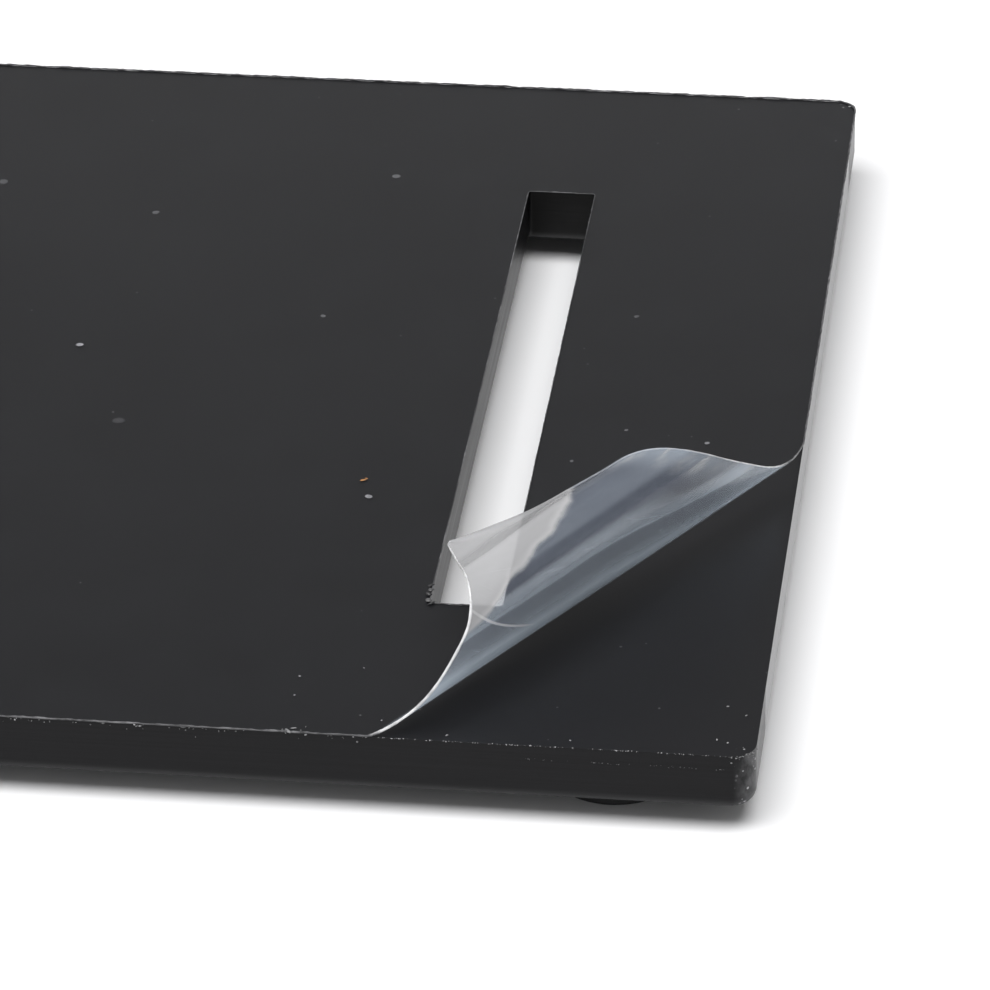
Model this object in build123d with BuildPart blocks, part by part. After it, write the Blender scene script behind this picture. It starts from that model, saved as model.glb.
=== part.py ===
from build123d import *
import math
import os

# Kick plate: a flat black plastic board on four stuck-on rubber feet, with a strap slot near
# each end, and a clear masking film over its top whose near right corner has been peeled back.
# Millimetres. The origin is the centre of the board's outline, at the height the feet stand on.
# +X runs along the board, -Y is the near long edge and +Z is up.

# Board
board_length = 400.0
board_depth = 150.0
board_thickness = 7.0
corner_radius = 2.7
bottom_edge_radius = 1.6

# Strap slots, parallel to the ends and centred in the board's depth
slot_width = 8.2
slot_length = 95.6
slot_edge_strip = 30.1
slot_corner_radius = 0.4
slot_edge_radius = 1.6

# Feet: turned rubber discs, each on a disc of adhesive
foot_diameter = 15.0
foot_height = 2.6
foot_edge_radius = 0.4
adhesive_diameter = 14.2
adhesive_thickness = 0.2
foot_from_long_edge = 11.4
foot_from_end = 16.0

# Masking film, and how far along the two edges the corner is peeled
film_thickness = 0.1
peel_along_near_edge = 41.3
peel_along_right_edge = 65.5
peel_line_gap = 0.3
# The loose corner's bend away from the board, in degrees, at even steps from the peel line to
# the tip. The power spaces the bend lines along the right edge, which makes the roll a cone.
bend_steps = (30.0, 49.0, 73.0, 83.0, 145.0, 222.0, 215.0, 203.0, 196.0)
bend_line_power = 0.8
flap_sections = 20
flap_tip_share = 0.965

# Worked out
foot_reach = foot_height + adhesive_thickness
board_bottom = foot_reach
board_top = board_bottom + board_thickness
film_top = board_top + film_thickness
slot_x = board_length / 2 - slot_edge_strip - slot_width / 2
foot_x = board_length / 2 - foot_from_end
foot_y = board_depth / 2 - foot_from_long_edge

board_corner = Vector(board_length / 2, -board_depth / 2)
peel_near = board_corner - Vector(peel_along_near_edge, 0)
peel_right = board_corner + Vector(0, peel_along_right_edge)

os.makedirs("parts", exist_ok=True)


def bend_at(share):
    """The loose corner's bend in degrees, at a share of the way from the peel line to the tip."""
    place = share * (len(bend_steps) - 1)
    step = min(int(place), len(bend_steps) - 2)
    return bend_steps[step] + (bend_steps[step + 1] - bend_steps[step]) * (place - step)


def bend_line(share):
    """One straight line across the flat loose corner: its ends on the near and right edges."""
    near = peel_near + (board_corner - peel_near) * share
    right = peel_right + (board_corner - peel_right) * share**bend_line_power
    return near, right


def rolled_sections(first, last, count):
    """The planes of the rolled corner's cross-sections, and their widths. The flat film between
    two bend lines stays flat, and it turns about each line by that line's step in bend."""
    sections = []
    near, right = bend_line(0)
    place = Vector(near.X, near.Y, film_top - film_thickness / 2)
    along = (right - near).normalized()
    rise = math.radians(bend_at(0))
    flat_forward = Vector(along.Y, -along.X)
    forward = flat_forward * math.cos(rise) + Vector(0, 0, 1) * math.sin(rise)
    for i in range(count + 1):
        share = first + (last - first) * i / count
        next_near, next_right = bend_line(share)
        flat_along = (right - near).normalized()
        flat_across = Vector(flat_along.Y, -flat_along.X)
        step = next_near - near
        place = place + along * step.dot(flat_along) + forward * step.dot(flat_across)
        next_flat = (next_right - next_near).normalized()
        turn_along, turn_across = next_flat.dot(flat_along), next_flat.dot(flat_across)
        new_along = along * turn_along + forward * turn_across
        new_forward = forward * turn_along - along * turn_across
        normal = new_along.cross(new_forward)
        bend = math.radians(bend_at(share)) - rise
        forward = new_forward * math.cos(bend) - normal * math.sin(bend)
        rise += bend
        along = new_along
        near, right = next_near, next_right
        width = (right - near).length
        middle = place + along * (width / 2)
        sections.append((Plane(origin=middle, x_dir=along, z_dir=forward), width))
    return sections


# The board
with BuildPart() as plate:
    with BuildSketch(Plane.XY.offset(board_bottom)):
        RectangleRounded(board_length, board_depth, corner_radius)
        with Locations((-slot_x, 0), (slot_x, 0)):
            RectangleRounded(slot_width, slot_length, slot_corner_radius, mode=Mode.SUBTRACT)
    extrude(amount=board_thickness)
    bottom_edges = plate.edges().filter_by(lambda e: abs(e.center().Z - board_bottom) < 0.01)
    outside = bottom_edges.filter_by(
        lambda e: abs(e.center().X) > board_length / 2 - corner_radius
        or abs(e.center().Y) > board_depth / 2 - corner_radius
    )
    fillet(outside, radius=bottom_edge_radius)
    around_slots = plate.edges().filter_by(
        lambda e: abs(e.center().Z - board_bottom) < 0.01
        and abs(abs(e.center().X) - slot_x) < slot_width
        and abs(e.center().Y) < slot_length
    )
    fillet(around_slots, radius=slot_edge_radius)
plate.part.label = "plate"
export_step(plate.part, "parts/plate.step")

# The film that is still stuck down: the board's outline and slots, less the loose corner
with BuildPart() as film_sheet:
    with BuildSketch(Plane.XY.offset(board_top)):
        RectangleRounded(board_length, board_depth, corner_radius)
        with Locations((-slot_x, 0), (slot_x, 0)):
            RectangleRounded(slot_width, slot_length, slot_corner_radius, mode=Mode.SUBTRACT)
        with BuildLine():
            Polyline(peel_near, peel_right, board_corner + Vector(5, 5), board_corner + Vector(5, -5),
                     board_corner + Vector(-5, -5), close=True)
        make_face(mode=Mode.SUBTRACT)
    extrude(amount=film_thickness)
film_sheet.part.label = "film_sheet"
export_step(film_sheet.part, "parts/film_sheet.step")

# The loose corner, rolled back over the board
peel_gap_share = peel_line_gap * (1 / peel_along_near_edge + 1 / peel_along_right_edge)
with BuildPart() as film_flap:
    for plane, width in rolled_sections(peel_gap_share, flap_tip_share, flap_sections):
        with BuildSketch(plane):
            Rectangle(width, film_thickness)
    loft(ruled=True)
film_flap.part.label = "film_flap"
export_step(film_flap.part, "parts/film_flap.step")

# The four feet and their adhesive discs
for end, x in (("left", -foot_x), ("right", foot_x)):
    for side, y in (("near", -foot_y), ("far", foot_y)):
        with BuildPart() as foot:
            with BuildSketch(Plane((x, y, 0))):
                Circle(foot_diameter / 2)
            extrude(amount=foot_height)
            fillet(foot.edges().group_by(Axis.Z)[0], radius=foot_edge_radius)
        foot.part.label = f"foot_{side}_{end}"
        export_step(foot.part, f"parts/foot_{side}_{end}.step")

        with BuildPart() as adhesive:
            with BuildSketch(Plane((x, y, foot_height))):
                Circle(adhesive_diameter / 2)
            extrude(amount=adhesive_thickness)
        adhesive.part.label = f"adhesive_{side}_{end}"
        export_step(adhesive.part, f"parts/adhesive_{side}_{end}.step")
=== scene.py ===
import bmesh
import bpy
import math
import numpy as np
from mathutils import Matrix, Vector


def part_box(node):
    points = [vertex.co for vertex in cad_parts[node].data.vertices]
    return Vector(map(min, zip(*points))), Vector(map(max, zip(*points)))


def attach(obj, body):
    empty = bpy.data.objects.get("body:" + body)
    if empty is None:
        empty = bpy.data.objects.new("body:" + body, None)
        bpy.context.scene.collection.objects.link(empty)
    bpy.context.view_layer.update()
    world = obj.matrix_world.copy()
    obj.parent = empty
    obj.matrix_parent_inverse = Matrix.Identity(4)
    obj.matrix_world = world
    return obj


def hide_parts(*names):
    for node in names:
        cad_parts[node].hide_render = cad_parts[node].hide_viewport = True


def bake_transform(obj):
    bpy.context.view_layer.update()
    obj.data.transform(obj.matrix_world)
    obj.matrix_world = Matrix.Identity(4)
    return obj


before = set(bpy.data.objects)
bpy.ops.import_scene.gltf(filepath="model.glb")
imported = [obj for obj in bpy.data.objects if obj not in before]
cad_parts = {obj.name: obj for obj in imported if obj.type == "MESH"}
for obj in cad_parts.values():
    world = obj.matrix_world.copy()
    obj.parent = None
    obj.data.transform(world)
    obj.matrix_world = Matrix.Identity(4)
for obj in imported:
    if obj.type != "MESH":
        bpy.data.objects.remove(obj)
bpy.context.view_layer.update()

# ---------------------------------------------------------------------------------------------
# Sizes, in metres. The board and the film's thickness come from the frame, the slots' sizes are
# given here, and the loose corner of the film repeats the driving sizes of its CAD node.
# ---------------------------------------------------------------------------------------------
MM = 0.001
_, plate_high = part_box("plate")
sheet_low, sheet_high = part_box("film_sheet")
half_length = plate_high.x
half_depth = plate_high.y
board_top = plate_high.z
film_thickness = sheet_high.z - sheet_low.z
film_lift = 0.015 * MM
film_bottom = board_top + film_lift
corner_radius = 2.7 * MM
film_tip_radius = 0.7 * MM
slot_half_width = 4.1 * MM
slot_half_length = 47.8 * MM
slot_corner_radius = 0.4 * MM
slot_edge_strip = 30.1 * MM
slot_centre = half_length - slot_edge_strip - slot_half_width

peel_along_near_edge = 41.3 * MM
peel_along_right_edge = 65.5 * MM
bend_steps = np.radians((30.0, 49.0, 73.0, 83.0, 145.0, 222.0, 215.0, 203.0, 196.0))
bend_line_power = 0.8
bend_lines = 150
stuck_columns = 90
peeled_columns = 44
crinkle_height = 0.22 * MM
sharp_angle = 40

corner = np.array((half_length, -half_depth))
peel_near = corner - (peel_along_near_edge, 0)
peel_right = corner + (0, peel_along_right_edge)

# Radii of the bead round the film, and the length of one step along it
stuck_bead = 0.105 * MM
loose_bead = 0.15 * MM
free_side_bead = 0.085 * MM
slot_bead = 0.06 * MM
bead_step = 0.28 * MM


# ---------------------------------------------------------------------------------------------
# Meshes
# ---------------------------------------------------------------------------------------------
def grid_faces(rows, columns, closed_rows=False, closed_columns=False):
    """The four corners of each cell of a grid of points, counted row by row."""
    last_row = rows if closed_rows else rows - 1
    last_column = columns if closed_columns else columns - 1
    row, column = np.meshgrid(np.arange(last_row), np.arange(last_column), indexing="ij")
    next_row, next_column = (row + 1) % rows, (column + 1) % columns
    cells = (row * columns + column, next_row * columns + column,
             next_row * columns + next_column, row * columns + next_column)
    return np.stack(cells, -1).reshape(-1, 4)


def make_piece(name, points, faces, material, smooth=True):
    """A mesh object in the row frame from arrays of points and faces."""
    mesh = bpy.data.meshes.new(name)
    mesh.from_pydata(points.reshape(-1, 3).tolist(), [], faces.tolist())
    mesh.polygons.foreach_set("use_smooth", np.full(len(mesh.polygons), smooth))
    mesh.materials.append(material)
    mesh.update()
    piece = bpy.data.objects.new(name, mesh)
    bpy.context.scene.collection.objects.link(piece)
    return piece


def add_values(piece, name, values):
    """A number for each point of the piece's mesh, which its material reads by name."""
    attribute = piece.data.attributes.new(name, "FLOAT", "POINT")
    attribute.data.foreach_set("value", np.asarray(values, np.float32).ravel())


def tube(path, across, radius, sides=8):
    """A closed tube round a closed path: path + radius * (across cos a + (tangent x across) sin a)."""
    tangent = np.roll(path, -1, 0) - np.roll(path, 1, 0)
    tangent /= np.linalg.norm(tangent, axis=1, keepdims=True)
    across = across - tangent * (across * tangent).sum(1, keepdims=True)
    across /= np.linalg.norm(across, axis=1, keepdims=True)
    other = np.cross(tangent, across)
    angle = np.linspace(0, 2 * np.pi, sides, endpoint=False)
    ring = across[:, None] * np.cos(angle)[:, None] + other[:, None] * np.sin(angle)[:, None]
    points = path[:, None] + ring * radius[:, None, None]
    return points, grid_faces(len(path), sides, True, True)


def lumpy(places, seed, waves=14, longest=0.02, shortest=0.0006):
    """A smooth uneven value from -1 to 1 along a length: a sum of sines of random phase."""
    random = np.random.default_rng(seed)
    wavelength = np.geomspace(longest, shortest, waves) * random.uniform(0.85, 1.15, waves)
    phase = random.uniform(0, 2 * np.pi, waves)
    value = np.sin(places[:, None] * 2 * np.pi / wavelength + phase).sum(1)
    return value / np.abs(value).max()


# ---------------------------------------------------------------------------------------------
# The film: stuck down flat, then rolled back about its bend lines at the loose corner
# ---------------------------------------------------------------------------------------------
def film_columns():
    """Where the columns of the film's grid stand along the board: at every corner's arc, slot
    edge and end of the peel line, and evenly between."""
    arc = corner_radius * (1 - np.cos(np.linspace(0, np.pi / 2, 9)))
    slot_edges = [side * slot_centre + edge * slot_half_width for side in (-1, 1) for edge in (-1, 1)]
    slope = peel_along_near_edge / peel_along_right_edge
    beside_slot_end = peel_near[0] + (half_depth - slot_half_length) * slope
    even = np.linspace(-half_length + corner_radius, peel_near[0], stuck_columns)
    along_peel = np.linspace(peel_near[0], half_length - corner_radius, peeled_columns)
    places = np.concatenate((-half_length + arc, half_length - arc, slot_edges,
                             [beside_slot_end], even, along_peel))
    return np.unique(np.round(places, 8))


def film_edges(x):
    """The stuck film's near and far edges at x: straight, with round corners, and at the loose
    corner the near edge follows the peel line."""
    into_arc = np.clip(np.abs(x) - (half_length - corner_radius), 0, corner_radius)
    far = half_depth - corner_radius + np.sqrt(corner_radius**2 - into_arc**2)
    share = (x - peel_near[0]) / peel_along_near_edge
    near = np.where(share > 0, peel_near[1] + share * peel_along_right_edge, -far)
    return near, far


def flat_film():
    """The stuck film as a grid: three bands of rows, before, beside and past the slots."""
    x = film_columns()
    near, far = film_edges(x)
    slot_near = np.maximum(near, -slot_half_length)
    rows = []
    slot_far = np.full(len(x), slot_half_length)
    for low, high, count in ((near, slot_near, 8), (slot_near, slot_far, 28), (slot_far, far, 8)):
        share = np.linspace(0, 1, count, endpoint=False)[:, None]
        rows.append(low + (high - low) * share)
    rows.append(far[None])
    y = np.concatenate(rows)
    points = np.stack((np.broadcast_to(x, y.shape), y, np.full(y.shape, film_bottom)), -1)
    faces = grid_faces(*y.shape)[:, ::-1]
    middle = points.reshape(-1, 3)[faces].mean(1)
    in_slot = ((np.abs(np.abs(middle[:, 0]) - slot_centre) < slot_half_width)
               & (np.abs(middle[:, 1]) < slot_half_length))
    height = np.ptp(points.reshape(-1, 3)[faces][:, :, 1], axis=1)
    return x, points, faces[~in_slot & (height > 1e-7)]


def bend_line_ends(share):
    """The ends of the loose corner's bend lines while it was flat, cut to its rounded tip."""
    near = peel_near + (corner - peel_near) * share[:, None]
    right = peel_right + (corner - peel_right) * (share**bend_line_power)[:, None]
    along = (right - near) / np.linalg.norm(right - near, axis=1, keepdims=True)
    centre = corner + (-film_tip_radius, film_tip_radius)
    to_near = near - centre
    half = (to_near * along).sum(1)
    root = np.sqrt(np.maximum(half**2 - (to_near**2).sum(1) + film_tip_radius**2, 0))
    near_cut = np.where(near[:, 0] > centre[0], -half - root, 0)
    right_cut = np.where(right[:, 1] < centre[1], -half + root, ((right - near) * along).sum(1))
    return near + along * near_cut[:, None], near + along * right_cut[:, None], along


def last_share():
    """How far towards the tip the bend lines still cross the film's rounded corner."""
    share = np.linspace(0.9, 0.9999, 2000)
    near, right, _ = bend_line_ends(share)
    width = np.linalg.norm(right - near, axis=1)
    return share[np.argmax(width < 0.3 * MM)]


def rolled_film(columns):
    """The loose corner: place(i, t) = near end of bend line i + t * its width * its direction.
    The film stays flat between two bend lines and turns about each by that line's step in bend."""
    share = last_share() * np.linspace(0, 1, bend_lines)
    near, right, along = bend_line_ends(share)
    across = np.stack((along[:, 1], -along[:, 0]), -1)
    width = np.linalg.norm(right - near, axis=1)
    bend = np.interp(share, np.linspace(0, 1, len(bend_steps)), bend_steps)
    place = np.array((near[0, 0], near[0, 1], film_bottom))
    line = np.array((along[0, 0], along[0, 1], 0.0))
    forward = np.array((across[0, 0], across[0, 1], 0.0))
    places, lines, normals = [place], [line], []
    for i in range(bend_lines):
        if i:
            step = near[i] - near[i - 1]
            place = place + line * (step @ along[i - 1]) + forward * (step @ across[i - 1])
            turn, side = along[i] @ along[i - 1], along[i] @ across[i - 1]
            line, forward = line * turn + forward * side, forward * turn - line * side
            places.append(place)
            lines.append(line)
        angle = bend[i] - (bend[i - 1] if i else 0)
        down = np.cross(line, forward)
        forward = forward * math.cos(angle) - down * math.sin(angle)
        normals.append(np.cross(forward, line))
    places, lines, normals = np.array(places), np.array(lines), np.array(normals)
    reach = width[:, None] * columns
    return places[:, None] + lines[:, None] * reach[..., None], normals, share


def crinkles(points, normals, share, columns):
    """Shallow dents and ripples in the loose film, which fade out towards the peel line."""
    loose = np.clip((share - 0.05) / 0.3, 0, 1)[:, None]
    s, t = np.meshgrid(share, columns, indexing="ij")
    broad = 0.35 * np.sin(7.0 * t + 5.0 * s + 0.6) * np.sin(4.2 * s * (1 + t) + 1.1)
    edge = np.exp(-((1 - t) / 0.09) ** 2) * np.sin(37 * s + 3 * t) * (s > 0)
    dents = sum(depth * np.exp(-((s - at_s) / wide_s) ** 2 - ((t - at_t) / wide_t) ** 2)
                for at_s, at_t, wide_s, wide_t, depth in
                ((0.50, 0.93, 0.035, 0.06, -0.45), (0.58, 0.86, 0.03, 0.05, 0.35),
                 (0.36, 0.55, 0.05, 0.14, -0.25), (0.83, 0.35, 0.06, 0.16, 0.30)))
    height = (broad + 0.16 * edge + dents) * crinkle_height * loose
    return points + normals[:, None] * height[..., None]


columns_x, flat_points, flat_faces = flat_film()
peel_columns = columns_x[columns_x >= peel_near[0] - 1e-7]
roll_columns = (peel_columns - peel_near[0]) / peel_along_near_edge
roll_points, roll_normals, roll_share = rolled_film(roll_columns)
roll_points = crinkles(roll_points, roll_normals, roll_share, roll_columns)
roll_faces = grid_faces(*roll_points.shape[:2]) + flat_points.size // 3


# ---------------------------------------------------------------------------------------------
# Materials
# ---------------------------------------------------------------------------------------------
def add_node(tree, kind, inputs=None, **settings):
    """A node with its settings, and each input set to a value or linked to another's output."""
    made = tree.nodes.new(kind)
    for name, value in settings.items():
        setattr(made, name, value)
    for name, value in (inputs or {}).items():
        if isinstance(value, bpy.types.NodeSocket):
            tree.links.new(value, made.inputs[name])
        else:
            made.inputs[name].default_value = value
    return made


def maths(tree, operation, *values):
    """The result of one Math node."""
    made = add_node(tree, "ShaderNodeMath", dict(enumerate(values)), operation=operation)
    return made.outputs[0]


def ramp(tree, value, low, high):
    """0 where value is at low and 1 where it is at high, and smooth between."""
    made = add_node(tree, "ShaderNodeMapRange",
                    {"Value": value, "From Min": low, "From Max": high},
                    interpolation_type="SMOOTHSTEP")
    return made.outputs["Result"]


def mix_colour(tree, share, first, second):
    """The second colour over the first, as far as share says."""
    made = add_node(tree, "ShaderNodeMix", data_type="RGBA")
    sockets = {"share": made.inputs[0], "first": made.inputs[6], "second": made.inputs[7]}
    for name, value in (("share", share), ("first", first), ("second", second)):
        if isinstance(value, bpy.types.NodeSocket):
            tree.links.new(value, sockets[name])
        else:
            sockets[name].default_value = value if name == "share" else (*value, 1)
    return made.outputs[2]


def new_group(name, inputs, outputs):
    """An empty node group with its sockets: (name, kind, value) in, and (name, kind) out."""
    tree = bpy.data.node_groups.new(name, "ShaderNodeTree")
    for title, kind, value in inputs:
        socket = tree.interface.new_socket(title, in_out="INPUT", socket_type=kind)
        if value is not None:
            socket.default_value = value
    for title, kind in outputs:
        tree.interface.new_socket(title, in_out="OUTPUT", socket_type=kind)
    return tree, tree.nodes.new("NodeGroupInput"), tree.nodes.new("NodeGroupOutput")


def specks_group():
    """Small round specks at random: a cell's speck is as wide as its own random share of Size,
    and only the share Amount of the cells has one."""
    tree, into, out = new_group(
        "specks",
        [("Vector", "NodeSocketVector", None), ("Scale", "NodeSocketFloat", 500.0),
         ("Size", "NodeSocketFloat", 0.3), ("Amount", "NodeSocketFloat", 0.2)],
        [("Mask", "NodeSocketFloat")])
    cells = add_node(tree, "ShaderNodeTexVoronoi",
                     {"Vector": into.outputs["Vector"], "Scale": into.outputs["Scale"]})
    random = add_node(tree, "ShaderNodeSeparateColor", {"Color": cells.outputs["Color"]})
    size = maths(tree, "MULTIPLY", into.outputs["Size"], random.outputs["Red"])
    inside = maths(tree, "SUBTRACT", size, cells.outputs["Distance"])
    soft = maths(tree, "DIVIDE", inside, 0.06)
    chosen = maths(tree, "LESS_THAN", random.outputs["Green"], into.outputs["Amount"])
    clamped = add_node(tree, "ShaderNodeClamp", {"Value": maths(tree, "MULTIPLY", soft, chosen)})
    tree.links.new(clamped.outputs["Result"], out.inputs["Mask"])
    return tree


def streaks_group():
    """Uneven streaks: noise stretched by Stretch, with its contrast raised."""
    tree, into, out = new_group(
        "streaks",
        [("Vector", "NodeSocketVector", None), ("Stretch", "NodeSocketVector", (30, 30, 3000)),
         ("Contrast", "NodeSocketFloat", 2.0), ("Detail", "NodeSocketFloat", 4.0)],
        [("Value", "NodeSocketFloat")])
    stretched = add_node(tree, "ShaderNodeVectorMath",
                         {0: into.outputs["Vector"], 1: into.outputs["Stretch"]},
                         operation="MULTIPLY")
    noise = add_node(tree, "ShaderNodeTexNoise",
                     {"Vector": stretched.outputs[0], "Scale": 1.0,
                      "Detail": into.outputs["Detail"]})
    centred = maths(tree, "SUBTRACT", noise.outputs["Fac"], 0.5)
    raised = maths(tree, "MULTIPLY_ADD", centred, into.outputs["Contrast"], 0.5)
    clamped = add_node(tree, "ShaderNodeClamp", {"Value": raised})
    tree.links.new(clamped.outputs["Result"], out.inputs["Value"])
    return tree


specks = specks_group()
streaks = streaks_group()


def put_specks(tree, vector, scale, size, amount):
    """The specks' mask at vector."""
    made = add_node(tree, "ShaderNodeGroup", node_tree=specks)
    for name, value in (("Scale", scale), ("Size", size), ("Amount", amount)):
        made.inputs[name].default_value = value
    tree.links.new(vector, made.inputs["Vector"])
    return made.outputs["Mask"]


def put_streaks(tree, vector, stretch, contrast=2.0, detail=4.0):
    """The streaks' value at vector."""
    made = add_node(tree, "ShaderNodeGroup", node_tree=streaks)
    for name, value in (("Stretch", stretch), ("Contrast", contrast), ("Detail", detail)):
        made.inputs[name].default_value = value
    tree.links.new(vector, made.inputs["Vector"])
    return made.outputs["Value"]


def new_material(name, **constants):
    """A material with one Principled shader, and its even values set on its own sockets."""
    material = bpy.data.materials.new(name)
    material.use_nodes = True
    tree = material.node_tree
    shader = tree.nodes["Principled BSDF"]
    for title, value in constants.items():
        shader.inputs[title.replace("_", " ")].default_value = value
    return material, tree, shader


def place_of(tree):
    """The point in the piece's own coordinates."""
    return add_node(tree, "ShaderNodeTexCoord").outputs["Object"]


def value_of(tree, name):
    """The piece's own value of that name."""
    return add_node(tree, "ShaderNodeAttribute", attribute_name=name).outputs["Fac"]


def let_through(tree, shader, solid):
    """Makes the material as solid as the value says, and clear for the rest."""
    clear = add_node(tree, "ShaderNodeBsdfTransparent")
    mixed = add_node(tree, "ShaderNodeMixShader",
                     {0: solid, 1: clear.outputs[0], 2: shader.outputs[0]})
    tree.links.new(mixed.outputs[0], tree.nodes["Material Output"].inputs["Surface"])


def board_plastic():
    """Black plastic sheet: smooth faces and ends, sawn long edges with fine level streaks, and
    frosted corners with pale dust on them. Its slots' end walls carry painted shade, darkened to
    near black, and a paler band low on its sides is a painted highlight."""
    material, tree, shader = new_material("board_plastic", Specular_IOR_Level=0.20)
    place = place_of(tree)
    split = add_node(tree, "ShaderNodeSeparateXYZ", {"Vector": place})
    x, y, z = (split.outputs[axis] for axis in "XYZ")
    over_x = maths(tree, "SUBTRACT", maths(tree, "ABSOLUTE", x), half_length - corner_radius)
    over_y = maths(tree, "SUBTRACT", maths(tree, "ABSOLUTE", y), half_depth - corner_radius)
    near_end = ramp(tree, over_x, 0.1 * corner_radius, 0.8 * corner_radius)
    near_side = ramp(tree, over_y, 0.0, 0.3 * corner_radius)
    in_corner = maths(tree, "MULTIPLY", near_end, near_side)
    facing = add_node(tree, "ShaderNodeSeparateXYZ",
                      {"Vector": add_node(tree, "ShaderNodeNewGeometry").outputs["Normal"]})
    upright = maths(tree, "ABSOLUTE", facing.outputs["Z"])
    on_side = ramp(tree, upright, 0.9, 0.6)
    on_end = ramp(tree, maths(tree, "ABSOLUTE", facing.outputs["X"]), 0.5, 0.95)
    on_end = maths(tree, "MULTIPLY", on_end, ramp(tree, over_x, -4 * MM, 0.0))
    # Painted shade: in_slot picks the slot's end walls, whose colour is darkened to near black below to
    # stand for the shade in the recess.
    in_slot = maths(tree, "MULTIPLY", on_side, ramp(tree, over_y, -10 * MM, -12 * MM))
    in_slot = maths(tree, "MULTIPLY", in_slot,
                    ramp(tree, maths(tree, "ABSOLUTE", facing.outputs["Y"]), 0.3, 0.8))
    saw = put_streaks(tree, place, (35.0, 35.0, 3800.0), 2.6)
    broad = put_streaks(tree, place, (18.0, 22.0, 400.0), 2.0)
    frost = put_streaks(tree, place, (1400.0, 1400.0, 900.0), 3.0)
    frosted = maths(tree, "MULTIPLY", in_corner, maths(tree, "MULTIPLY_ADD", frost, 0.75, 0.15))
    frosted = maths(tree, "MULTIPLY", frosted, on_side)
    # Painted highlight: a paler band low on the sides stands in for light caught by a bottom fillet that is
    # not modelled.
    painted_fillet_highlight = maths(tree, "MULTIPLY", ramp(tree, z, board_top - 5.4 * MM, board_top - 6.6 * MM), 0.28)
    dust = put_specks(tree, place, 1100.0, 0.2, 0.03)
    corner_dust = maths(tree, "MULTIPLY", put_specks(tree, place, 2600.0, 0.5, 0.22), in_corner)
    side_colour = mix_colour(tree, saw, (0.0015, 0.0015, 0.0020), (0.0052, 0.0052, 0.0060))
    face_colour = mix_colour(tree, broad, (0.0092, 0.0092, 0.0104), (0.0116, 0.0116, 0.0130))
    colour = mix_colour(tree, on_side, face_colour, side_colour)
    # Painted shade: the slot's end walls are darkened to near black.
    colour = mix_colour(tree, maths(tree, "MULTIPLY", in_slot, 0.9), colour, (0.002, 0.002, 0.002))
    # Painted highlight: the paler band low on the sides.
    colour = mix_colour(tree, maths(tree, "MULTIPLY", painted_fillet_highlight, on_side), colour, (0.05, 0.05, 0.052))
    colour = mix_colour(tree, frosted, colour, (0.095, 0.095, 0.098))
    pale = maths(tree, "MAXIMUM", maths(tree, "MULTIPLY", dust, 0.22), corner_dust)
    colour = mix_colour(tree, pale, colour, (0.34, 0.34, 0.35))
    tree.links.new(colour, shader.inputs["Base Color"])
    rough = maths(tree, "MULTIPLY_ADD", maths(tree, "MULTIPLY", saw, on_side), 0.10, 0.30)
    outside = maths(tree, "MULTIPLY", on_side, ramp(tree, over_y, -12 * MM, -10 * MM))
    rough = maths(tree, "MULTIPLY_ADD", outside, 0.22, rough)
    rough = maths(tree, "MULTIPLY_ADD", on_end, -0.26, rough)
    rough = maths(tree, "MULTIPLY_ADD", frosted, 0.2, rough)
    tree.links.new(rough, shader.inputs["Roughness"])
    grain = maths(tree, "MULTIPLY", saw, maths(tree, "SUBTRACT", on_side, on_end))
    grain = maths(tree, "MULTIPLY_ADD", frosted, 1.4, grain)
    fine = add_node(tree, "ShaderNodeTexNoise", {"Vector": place, "Scale": 1500.0})
    grain = maths(tree, "MULTIPLY_ADD", fine.outputs["Fac"], 0.12, grain)
    bump = add_node(tree, "ShaderNodeBump",
                    {"Height": grain, "Strength": 0.35, "Distance": 0.03 * MM})
    tree.links.new(bump.outputs["Normal"], shader.inputs["Normal"])
    return material


def brightness_ramp(tree, value, stops):
    """A grey level that runs straight between stops of (place, level)."""
    made = tree.nodes.new("ShaderNodeValToRGB")
    points = made.color_ramp.elements
    for point, (place, level) in zip((points[0], points[-1]), (stops[0], stops[-1])):
        point.position = place
        point.color = (level, level, level, 1)
    for place, level in stops[1:-1]:
        point = points.new(place)
        point.color = (level, level, level, 1)
    tree.links.new(value, made.inputs["Fac"])
    return made.outputs["Color"]


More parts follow.
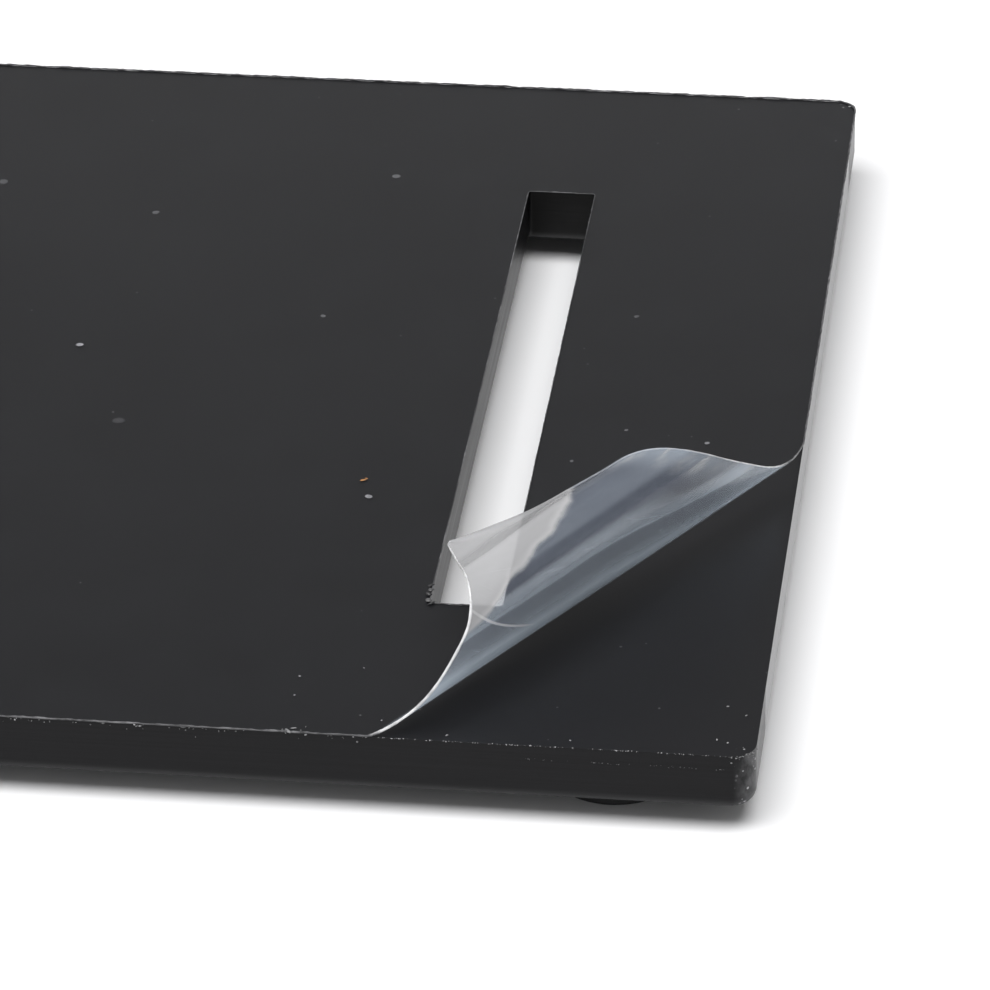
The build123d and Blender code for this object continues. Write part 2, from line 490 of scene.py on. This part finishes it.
def clear_film():
    """Clear masking film. Stuck down it hardly shows. Loose, it is milky, with paler and darker
    stripes along its bend lines, which are painted reflections of the softboxes, fine scratches and
    dust, and its tip is cloudier and painted pale up to an uneven line, standing in for the bright
    floor seen through it over the slot."""
    material, tree, shader = new_material("clear_film", Specular_IOR_Level=0.5, IOR=1.5)
    place = place_of(tree)
    loose = value_of(tree, "loose")
    share = value_of(tree, "bend_share")
    along = value_of(tree, "bend_along")
    on_film = add_node(tree, "ShaderNodeCombineXYZ", {"X": share, "Y": along}).outputs[0]
    cloud = put_streaks(tree, place, (120.0, 120.0, 120.0), 2.0)
    wander = put_streaks(tree, on_film, (3.0, 2.0, 1.0), 1.5)
    slide = maths(tree, "MULTIPLY", ramp(tree, along, 0.45, 1.0), ramp(tree, share, 0.45, 0.36))
    slid = maths(tree, "MULTIPLY_ADD", slide, 0.09, share)
    slid = maths(tree, "MULTIPLY_ADD", maths(tree, "SUBTRACT", wander, 0.5), 0.018, slid)
    # Painted reflections: the paler and darker stripes along the bend lines stand in for reflections of the
    # softboxes on the curl.
    painted_reflection_bands = brightness_ramp(tree, slid, (
        (0.0, 0.60), (0.07, 0.50), (0.115, 0.50), (0.135, 0.98), (0.222, 0.90), (0.258, 0.55),
        (0.30, 0.30), (0.354, 0.21), (0.366, 0.52), (0.400, 0.40), (0.418, 0.28), (0.434, 0.0),
        (0.466, 0.0), (0.482, 0.13), (0.56, 0.06), (0.62, 0.0), (1.0, 0.0)))
    diagonal = maths(tree, "MULTIPLY_ADD", along, 0.8, share)
    aslant = add_node(tree, "ShaderNodeCombineXYZ", {"X": diagonal, "Y": along}).outputs[0]
    threads = put_streaks(tree, on_film, (60.0, 1.2, 1.0), 1.6, 3.0)
    crossed = maths(tree, "MULTIPLY_ADD", along, 0.35, share)
    crossed = add_node(tree, "ShaderNodeCombineXYZ", {"X": crossed, "Y": along, "Z": 3.0}).outputs[0]
    scuffs = maths(tree, "MAXIMUM", put_streaks(tree, aslant, (260.0, 3.4, 1.0), 2.0, 3.0),
                   put_streaks(tree, crossed, (300.0, 4.6, 1.0), 2.0, 3.0))
    scuffs = maths(tree, "MULTIPLY", ramp(tree, scuffs, 0.80, 1.0), ramp(tree, share, 0.13, 0.2))
    scratch = ramp(tree, maths(tree, "ABSOLUTE", maths(tree, "SUBTRACT", diagonal, 0.452)), 0.006, 0.002)
    scratch = maths(tree, "MULTIPLY", scratch, ramp(tree, along, 0.30, 0.24))
    scratch = maths(tree, "MULTIPLY", scratch, loose)
    specks_on = put_specks(tree, place, 620.0, 0.17, 0.10)
    outline = brightness_ramp(tree, along, (
        (0.0, 0.385), (0.08, 0.405), (0.16, 0.455), (0.35, 0.50), (0.47, 0.53), (0.58, 0.56),
        (0.68, 0.615), (1.0, 0.72)))
    frayed = maths(tree, "MULTIPLY", ramp(tree, along, 0.84, 1.0),
                   ramp(tree, put_streaks(tree, on_film, (34.0, 5.0, 1.0), 2.4), 0.55, 0.95))
    ragged = maths(tree, "MULTIPLY_ADD", put_streaks(tree, on_film, (9.0, 7.0, 1.0), 1.6), 0.03, -0.015)
    past = maths(tree, "ADD", maths(tree, "SUBTRACT", share, outline), ragged)
    # Painted light: past the uneven outline the tip is cloudier and pale, with a paler rim, standing in for
    # the bright floor seen through the film over the slot.
    pale_tip_painted_light = ramp(tree, past, -0.008, 0.016)
    rim = maths(tree, "MULTIPLY", ramp(tree, past, 0.035, 0.010), pale_tip_painted_light)
    # level carries the painted reflection stripes into the film's colour and haze.
    level = maths(tree, "MULTIPLY_ADD", threads, 0.06, painted_reflection_bands)
    level = maths(tree, "MULTIPLY_ADD", cloud, 0.06, level)
    level = maths(tree, "MULTIPLY_ADD", ramp(tree, along, 0.82, 1.0), 0.25, level)
    colour = mix_colour(tree, level, (0.090, 0.104, 0.142), (0.80, 0.90, 1.0))
    colour = mix_colour(tree, maths(tree, "MULTIPLY", scuffs, 0.30), colour, (0.62, 0.64, 0.68))
    colour = mix_colour(tree, scratch, colour, (0.70, 0.71, 0.74))
    colour = mix_colour(tree, maths(tree, "MULTIPLY", frayed, 0.8), colour, (0.62, 0.62, 0.62))
    # Painted light: the tip's pale grey stands in for the bright floor seen through it.
    colour = mix_colour(tree, pale_tip_painted_light, colour, (0.43, 0.43, 0.44))
    colour = mix_colour(tree, maths(tree, "MULTIPLY", rim, 0.3), colour, (0.7, 0.7, 0.7))
    colour = mix_colour(tree, maths(tree, "MULTIPLY", specks_on, loose), colour, (0.9, 0.9, 0.9))
    tree.links.new(colour, shader.inputs["Base Color"])
    tree.links.new(maths(tree, "MULTIPLY_ADD", threads, 0.12, 0.16), shader.inputs["Roughness"])
    haze = maths(tree, "MULTIPLY_ADD", level, 0.10, 0.37)
    haze = maths(tree, "MULTIPLY_ADD", scuffs, 0.06, haze)
    haze = maths(tree, "MULTIPLY_ADD", scratch, 0.25, haze)
    haze = maths(tree, "MULTIPLY_ADD", specks_on, 0.4, haze)
    haze = maths(tree, "MULTIPLY_ADD", pale_tip_painted_light, 0.26, haze)
    haze = maths(tree, "MULTIPLY", haze, loose)
    stuck = maths(tree, "MULTIPLY_ADD", cloud, 0.0015, 0.0004)
    stuck = maths(tree, "MULTIPLY_ADD", put_specks(tree, place, 150.0, 0.07, 0.10), 0.02, stuck)
    solid = add_node(tree, "ShaderNodeClamp", {"Value": maths(tree, "ADD", haze, stuck)})
    let_through(tree, shader, solid.outputs[0])
    return material


def cut_edge():
    """The film's sawn edge: pale and cloudy, with darker gaps where it is stuck down."""
    material, tree, shader = new_material("film_cut_edge", Roughness=0.35)
    place = place_of(tree)
    uneven = put_streaks(tree, place, (900.0, 900.0, 900.0), 2.8)
    long = put_streaks(tree, place, (120.0, 120.0, 120.0), 2.4)
    loose = value_of(tree, "loose")
    level = maths(tree, "MULTIPLY", uneven, long)
    stuck_colour = mix_colour(tree, level, (0.018, 0.018, 0.020), (0.24, 0.24, 0.25))
    loose_colour = mix_colour(tree, uneven, (0.42, 0.42, 0.43), (0.72, 0.72, 0.73))
    tree.links.new(mix_colour(tree, loose, stuck_colour, loose_colour), shader.inputs["Base Color"])
    return material


def crumb_plastic():
    """Sawn crumbs, from near black to white as each one's own level says."""
    material, tree, shader = new_material("crumb_plastic", Roughness=0.4)
    level = value_of(tree, "level")
    uneven = put_streaks(tree, place_of(tree), (3000.0, 3000.0, 3000.0), 2.0)
    shade = maths(tree, "MULTIPLY", level, maths(tree, "MULTIPLY_ADD", uneven, 0.5, 0.6))
    colour = mix_colour(tree, shade, (0.012, 0.012, 0.013), (0.62, 0.62, 0.63))
    tree.links.new(colour, shader.inputs["Base Color"])
    return material


def trapped_dust(name, colour):
    """A spot in or on the film: cloudy in the middle and clear at its rim."""
    material, tree, shader = new_material(name, Roughness=0.5)
    level = value_of(tree, "level")
    middle = value_of(tree, "middle")
    uneven = put_streaks(tree, place_of(tree), (2500.0, 2500.0, 2500.0), 2.0)
    darker = tuple(part * 0.6 for part in colour)
    tree.links.new(mix_colour(tree, uneven, darker, colour), shader.inputs["Base Color"])
    let_through(tree, shader, maths(tree, "MULTIPLY", ramp(tree, middle, 0.0, 0.8), level))
    return material


def foot_rubber():
    """Black moulded rubber with a fine matte grain and a little dust."""
    material, tree, shader = new_material("foot_rubber", Specular_IOR_Level=0.3)
    place = place_of(tree)
    grain = put_streaks(tree, place, (900.0, 900.0, 900.0), 2.0)
    dust = put_specks(tree, place, 1100.0, 0.3, 0.08)
    colour = mix_colour(tree, grain, (0.012, 0.012, 0.013), (0.022, 0.022, 0.023))
    colour = mix_colour(tree, maths(tree, "MULTIPLY", dust, 0.5), colour, (0.25, 0.25, 0.25))
    tree.links.new(colour, shader.inputs["Base Color"])
    tree.links.new(maths(tree, "MULTIPLY_ADD", grain, 0.2, 0.6), shader.inputs["Roughness"])
    bump = add_node(tree, "ShaderNodeBump",
                    {"Height": grain, "Strength": 0.5, "Distance": 0.04 * MM})
    tree.links.new(bump.outputs["Normal"], shader.inputs["Normal"])
    return material


def adhesive_film():
    """Yellowish clear adhesive with small bubbles at its edge."""
    material, tree, shader = new_material("adhesive_film", Roughness=0.3)
    place = place_of(tree)
    cloud = put_streaks(tree, place, (500.0, 500.0, 500.0), 2.0)
    bubbles = put_specks(tree, place, 1500.0, 0.4, 0.4)
    colour = mix_colour(tree, cloud, (0.30, 0.28, 0.22), (0.42, 0.40, 0.33))
    colour = mix_colour(tree, bubbles, colour, (0.6, 0.59, 0.54))
    tree.links.new(colour, shader.inputs["Base Color"])
    return material


def pale_floor():
    """A plain off-white floor."""
    material, tree, shader = new_material("pale_floor", Roughness=0.6, Specular_IOR_Level=0.2)
    shader.inputs["Base Color"].default_value = (0.90, 0.90, 0.91, 1)
    return material


film_material = clear_film()
edge_material = cut_edge()
crumb_material = crumb_plastic()


def paint(node, material):
    """A CAD node takes a material."""
    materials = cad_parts[node].data.materials
    materials.clear()
    materials.append(material)


paint("plate", board_plastic())
rubber = foot_rubber()
adhesive = adhesive_film()
for end in ("left", "right"):
    for side in ("near", "far"):
        paint(f"foot_{side}_{end}", rubber)
        paint(f"adhesive_{side}_{end}", adhesive)


# ---------------------------------------------------------------------------------------------
# The film's pieces
# ---------------------------------------------------------------------------------------------
def merge_close(piece):
    """Joins the roll's first line to the stuck film, and drops the points that no face uses."""
    mesh = bmesh.new()
    mesh.from_mesh(piece.data)
    bmesh.ops.remove_doubles(mesh, verts=mesh.verts, dist=1e-6)
    loose = [vertex for vertex in mesh.verts if not vertex.link_faces]
    bmesh.ops.delete(mesh, geom=loose, context="VERTS")
    mesh.to_mesh(piece.data)
    mesh.free()


def settle(piece, angle):
    """Applies the piece's modifiers, and leaves an edge sharp where it turns by more than angle,
    in degrees."""
    seen = piece.evaluated_get(bpy.context.evaluated_depsgraph_get())
    mesh = bpy.data.meshes.new_from_object(seen)
    piece.modifiers.clear()
    piece.data = mesh
    mesh.set_sharp_from_angle(angle=math.radians(angle))


def across_the_peel(piece):
    """Bakes the piece's placement into its points."""
    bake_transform(piece)


def make_film():
    """The stuck film and the loose corner as one sheet, given its thickness."""
    points = np.concatenate((flat_points.reshape(-1, 3), roll_points.reshape(-1, 3)))
    faces = np.concatenate((flat_faces, roll_faces[:, ::-1]))
    film = make_piece("masking_film", points, faces, film_material)
    flat_count = flat_points.size // 3
    share, along = np.meshgrid(roll_share, roll_columns, indexing="ij")
    none = np.zeros(flat_count)
    add_values(film, "bend_share", np.concatenate((none, share.ravel())))
    add_values(film, "bend_along", np.concatenate((none, along.ravel())))
    loose = np.clip((share.ravel() - 0.09 * along.ravel()) / 0.05, 0, 1)
    add_values(film, "loose", np.concatenate((none, loose)))
    merge_close(film)
    solidify = film.modifiers.new("thickness", "SOLIDIFY")
    solidify.thickness = film_thickness - film_lift
    solidify.offset = 1
    settle(film, sharp_angle)
    across_the_peel(film)
    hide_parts("film_sheet", "film_flap")
    slots = 2 * (2 * slot_half_width) * (2 * slot_half_length)
    flat_area = 4 * half_length * half_depth - slots
    return film, flat_area


def even_steps(path, step):
    """The path at even steps along its length, and each point's place along it."""
    length = np.concatenate(([0], np.cumsum(np.linalg.norm(np.diff(path, axis=0), axis=1))))
    places = np.linspace(0, length[-1], int(length[-1] / step), endpoint=False)
    return np.stack([np.interp(places, length, path[:, k]) for k in range(path.shape[1])], -1), places


def round_corner(centre, radius, start, count=10):
    """A quarter circle round centre from the angle start: centre + radius * (cos a, sin a)."""
    angle = start + np.linspace(0, np.pi / 2, count)
    return np.array(centre) + radius * np.stack((np.cos(angle), np.sin(angle)), -1)


def film_border():
    """The film's outer border as one closed path of (x, y, z, looseness, bead radius), which
    leaves the peel line along the stuck sides and comes back round the loose corner."""
    inner_x, inner_y = half_length - corner_radius, half_depth - corner_radius
    stuck = np.concatenate((
        peel_right[None],
        round_corner((inner_x, inner_y), corner_radius, 0),
        round_corner((-inner_x, inner_y), corner_radius, np.pi / 2),
        round_corner((-inner_x, -inner_y), corner_radius, np.pi),
        peel_near[None]))
    flat = np.zeros(len(stuck))
    stuck = np.column_stack((stuck, flat + film_bottom + stuck_bead, flat, flat + stuck_bead))
    middle = roll_points + roll_normals[:, None] * film_thickness / 2
    loose = np.clip(roll_share / 0.04, 0, 1)
    near_side = np.column_stack((middle[:, 0], loose, stuck_bead + (loose_bead - stuck_bead) * loose))
    whole = np.ones(len(roll_columns))
    tip = np.column_stack((middle[-1], whole, whole * loose_bead))
    lifted = np.clip((roll_share - 0.09) / 0.08, 0, 1)
    right_side = np.column_stack((middle[:, -1], lifted, free_side_bead + 0 * lifted))[::-1]
    return np.concatenate((stuck, near_side[2:], tip[1:-1], right_side[:-2], stuck[:1]))


def slot_border(centre_x):
    """The film's border round a slot, as film_border gives it."""
    radius = slot_corner_radius
    x, y = slot_half_width - radius, slot_half_length - radius
    path = np.concatenate([
        round_corner((centre_x + sign_x * x, sign_y * y), radius, start, 5)
        for sign_x, sign_y, start in ((1, 1, 0), (-1, 1, np.pi / 2), (-1, -1, np.pi),
                                      (1, -1, -np.pi / 2))])
    flat = np.zeros(len(path))
    path = np.column_stack((path, flat + film_bottom + slot_bead, flat, flat + slot_bead))
    return np.concatenate((path, path[:1]))


def make_cut_edge():
    """A thin uneven bead round the film's border and its slots, where the saw melted it."""
    all_points, all_faces, all_loose, count = [], [], [], 0
    for seed, border in enumerate((film_border(), slot_border(-slot_centre), slot_border(slot_centre))):
        path, places = even_steps(border, bead_step)
        ragged = lumpy(places, seed, longest=0.012, shortest=0.0009)
        stray = lumpy(places, seed + 10, longest=0.009, shortest=0.0012)
        loose, radius = path[:, 3], path[:, 4]
        radius = radius * (1 + ragged * (0.55 - 0.3 * loose))
        centre = path[:, :3].copy()
        centre[:, 2] += (radius - path[:, 4]) * (1 - loose)
        centre[:, 1] += stray * 0.05 * MM * (1 - loose)
        points, faces = tube(centre, np.broadcast_to((0.0, 0.0, 1.0), centre.shape), radius)
        all_points.append(points.reshape(-1, 3))
        all_faces.append(faces + count)
        all_loose.append(np.repeat(loose, points.shape[1]))
        count += points.shape[0] * points.shape[1]
    edge = make_piece("film_cut_edge", np.concatenate(all_points), np.concatenate(all_faces),
                      edge_material)
    add_values(edge, "loose", np.concatenate(all_loose))
    across_the_peel(edge)
    return edge


def lump_shape():
    """A unit ball of small triangles, as points and faces."""
    mesh = bmesh.new()
    bmesh.ops.create_icosphere(mesh, subdivisions=2, radius=1)
    points = np.array([vertex.co[:] for vertex in mesh.verts])
    faces = np.array([[vertex.index for vertex in face.verts] for face in mesh.faces])
    mesh.free()
    return points, faces


def make_lumps(name, centres, sizes, levels, material, seed, rough=0.3):
    """Many small lumps: centre + its own turn of the unit ball * size * (1 + rough * a sum of
    sines of the ball's point)."""
    random = np.random.default_rng(seed)
    ball, faces = lump_shape()
    count = len(centres)
    wave = random.normal(0, 2.2, (count, 3, 3))
    phase = random.uniform(0, 2 * np.pi, (count, 3, 1))
    bulge = np.sin(np.einsum("nkc,vc->nkv", wave, ball) + phase).sum(1) / 3
    local = ball[None] * (1 + rough * bulge[..., None]) * sizes[:, None]
    turn = random.uniform(0, 2 * np.pi, count)
    cos, sin = np.cos(turn)[:, None], np.sin(turn)[:, None]
    turned = np.stack((local[..., 0] * cos - local[..., 1] * sin,
                       local[..., 0] * sin + local[..., 1] * cos, local[..., 2]), -1)
    points = turned + centres[:, None]
    all_faces = faces[None] + (np.arange(count) * len(ball))[:, None, None]
    piece = make_piece(name, points, all_faces.reshape(-1, 3), material)
    add_values(piece, "level", np.repeat(levels, len(ball)))
    add_values(piece, "middle", np.tile(np.abs(ball[:, 2]), count))
    return piece


def make_edge_crumbs():
    """Pale crumbs left by the saw: a broken line of them along the bare near edge and round its
    corner, more below the film's near edge, and a few strays."""
    random = np.random.default_rng(5)
    inner_x = half_length - corner_radius
    bare = random.uniform(peel_near[0] + 1 * MM, inner_x, 150)
    angle = random.uniform(-np.pi / 2, 0, 60)
    under = random.uniform(-half_length + 3 * MM, peel_near[0], 520)
    strays = np.array([(195.7, -71.9), (196.9, -72.4), (196.3, -65.3), (198.4, -66.9),
                       (180.2, -73.6), (167.0, -73.9)]) * MM
    low = random.uniform(inner_x - 22 * MM, inner_x, 40)
    counts = (len(bare), len(angle), len(under), len(strays), len(low))
    reach = corner_radius - 0.02 * MM
    x = np.concatenate((bare, inner_x + reach * np.cos(angle), under, strays[:, 0], low))
    y = np.concatenate((np.full(counts[0], 0.03 * MM), corner_radius + reach * np.sin(angle),
                        np.full(counts[2], -0.03 * MM), strays[:, 1] + half_depth,
                        np.full(counts[4], -0.01 * MM))) - half_depth
    drop = np.concatenate((random.uniform(-0.01, 0.06, counts[0]), random.exponential(0.22, counts[1]),
                           random.exponential(0.2, counts[2]), np.full(counts[3], -0.03),
                           1.7 + random.normal(0, 0.05, counts[4]))) * MM
    size = np.concatenate((random.uniform(0.025, 0.07, counts[0]), random.uniform(0.02, 0.08, counts[1]),
                           random.uniform(0.03, 0.11, counts[2]), random.uniform(0.07, 0.11, counts[3]),
                           random.uniform(0.02, 0.045, counts[4]))) * MM
    level = np.concatenate((random.uniform(0.15, 0.9, counts[0])**1.5,
                            random.uniform(0.1, 0.75, counts[1])**1.5,
                            random.uniform(0.05, 0.75, counts[2])**1.6, random.uniform(0.35, 0.8, counts[3]),
                            random.uniform(0.1, 0.35, counts[4])))
    centres = np.column_stack((x, y, board_top - drop))
    stretch = np.column_stack((random.uniform(1, 2.4, len(x)), random.uniform(0.7, 1.1, len(x)),
                               random.uniform(0.6, 1.0, len(x))))
    crumbs = make_lumps("edge_crumbs", centres, size[:, None] * stretch, level, crumb_material, 6)
    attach(crumbs, "board")


def make_slot_burr():
    """Melted plastic left at the slot's near left corner and part way along the near edge."""
    slot_left = slot_centre - slot_half_width
    beside_slot = np.array([(-0.25, -46.1), (-0.1, -45.2), (-0.2, -44.2), (0.3, -47.9),
                            (-0.1, -47.4)]) * MM + (slot_left, 0)
    near_edge = np.array([(150.0, 0.1), (150.6, 0.7), (151.4, 0.4), (151.8, 1.1),
                          (149.4, 0.1)]) * MM - (0, half_depth)
    at = np.concatenate((beside_slot, near_edge))
    wide = np.array([(0.38, 0.42, 0.16), (0.30, 0.36, 0.15), (0.18, 0.34, 0.10), (0.42, 0.20, 0.12),
                     (0.34, 0.34, 0.16), (0.50, 0.16, 0.13), (0.34, 0.09, 0.08), (0.12, 0.10, 0.07),
                     (0.16, 0.05, 0.05), (0.30, 0.12, 0.10)]) * MM
    level = np.array([0.02, 0.10, 0.02, 0.03, 0.16, 0.30, 0.45, 0.25, 0.35, 0.2])
    centres = np.column_stack((at, board_top + film_thickness + wide[:, 2] * 0.4))
    burr = make_lumps("sawn_burr", centres, wide, level, crumb_material, 9, rough=0.45)
    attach(burr, "film")
    return burr


def make_film_spots():
    """Round and oval spots of dust on the stuck film, from about 0.2 to 1.6 mm across."""
    spots = np.array([
        (149.7, -64, 0.17, 0.55), (156.4, -61.7, 0.12, 0.35), (149.7, -67.8, 0.14, 0.4),
        (159.7, -71.8, 0.13, 0.5), (145, 50, 0.62, 0.16), (117, 38, 0.55, 0.12),
        (113.4, 5, 0.52, 0.60), (141, 14.5, 0.42, 0.14), (152, -26, 0.50, 0.45),
        (97, 44, 0.70, 0.10), (121, -12, 0.80, 0.05), (178, 18, 0.40, 0.10),
        (189, -10.5, 0.36, 0.30), (174, -16, 0.30, 0.12), (179.5, -8.5, 0.30, 0.14),
        (95, -30, 0.40, 0.10), (60, 20, 0.50, 0.20), (18, -41, 0.45, 0.10),
        (-30, 12, 0.50, 0.30), (-75, 48, 0.60, 0.12), (-110, -35, 0.40, 0.20),
        (-140, 8, 0.50, 0.10), (-12, -52, 0.55, 0.15), (-165, 55, 0.50, 0.20),
        (40, 58, 0.45, 0.12)])
    at, wide, level = spots[:, :2] * MM, spots[:, 2] * MM, spots[:, 3]
    centres = np.column_stack((at, np.full(len(at), board_top + film_thickness + 0.004 * MM)))
    sizes = np.column_stack((wide, wide * 0.85, np.full(len(at), 0.016 * MM)))
    pale_dust = trapped_dust("pale_dust", (0.42, 0.42, 0.45))
    spots = make_lumps("film_spots", centres, sizes, level, pale_dust, 11, 0.12)
    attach(spots, "film")
    fleck_at = np.array([(150.9, -22.5, 0.006), (151.2, -22.1, 0.006)]) * MM
    fleck_at[:, 2] += board_top + film_thickness
    fleck_size = np.array([(0.42, 0.20, 0.03), (0.22, 0.12, 0.03)]) * MM
    fleck = make_lumps("orange_fleck", fleck_at, fleck_size, np.array([1.0, 0.9]),
                       trapped_dust("orange_dust", (0.42, 0.20, 0.07)), 12, 0.35)
    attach(fleck, "film")
    return spots, fleck


film, film_area = make_film()
film_edge = make_cut_edge()
film_spots, fleck = make_film_spots()
burr = make_slot_burr()
make_edge_crumbs()

# ---------------------------------------------------------------------------------------------
# Floor, light and camera
# ---------------------------------------------------------------------------------------------
floor_height = -0.05 * MM
floor_reach = 4
floor_points = np.array([(x * floor_reach, y * floor_reach, floor_height)
                         for x, y in ((-1, -1), (1, -1), (1, 1), (-1, 1))])
floor = make_piece("floor", floor_points, np.array([(0, 1, 2, 3)]), pale_floor(), smooth=False)


def add_light(name, at, towards, size, power):
    """A white rectangular softbox at a place, turned towards another."""
    light = bpy.data.lights.new(name, "AREA")
    light.shape = "RECTANGLE"
    light.size, light.size_y = size
    light.energy = power
    lamp = bpy.data.objects.new(name, light)
    lamp.location = at
    lamp.rotation_euler = (Vector(towards) - Vector(at)).to_track_quat("-Z", "Y").to_euler()
    bpy.context.scene.collection.objects.link(lamp)


focus = (half_length - 0.05, 0.0, 0.0)
add_light("top_softbox", (0.1, -0.45, 1.6), focus, (1.6, 1.2), 36)
add_light("left_softbox", (-1.3, -0.3, 0.9), focus, (0.9, 1.2), 9)
add_light("back_softbox", (-0.1, 1.6, 0.48), focus, (2.8, 0.5), 2.5)
add_light("front_softbox", (0.3, -1.6, 0.35), focus, (2.4, 0.5), 3)

world = bpy.data.worlds.new("studio")
world.use_nodes = True
world.node_tree.nodes["Background"].inputs["Color"].default_value = (1, 1, 1, 1)
world.node_tree.nodes["Background"].inputs["Strength"].default_value = 0.24
bpy.context.scene.world = world
bpy.context.scene.view_settings.view_transform = "Standard"

camera_turn = math.radians(7.32)
camera_rise = math.radians(31.09)
camera_roll = math.radians(-0.89)
camera_distance = 0.7319
aim = Vector((half_length - 0.0338, -half_depth + 0.0507, board_top + film_thickness))
camera_data = bpy.data.cameras.new("camera")
camera_data.sensor_width = 36
camera_data.lens = 235.4
camera_data.clip_start = 0.01
camera = bpy.data.objects.new("camera", camera_data)
turned = (Matrix.Rotation(camera_turn, 4, "Z") @ Matrix.Rotation(math.pi / 2 - camera_rise, 4, "X")
          @ Matrix.Rotation(camera_roll, 4, "Z"))
camera.matrix_world = Matrix.Translation(aim) @ turned @ Matrix.Translation((0, 0, camera_distance))
bpy.context.scene.collection.objects.link(camera)
bpy.context.scene.camera = camera
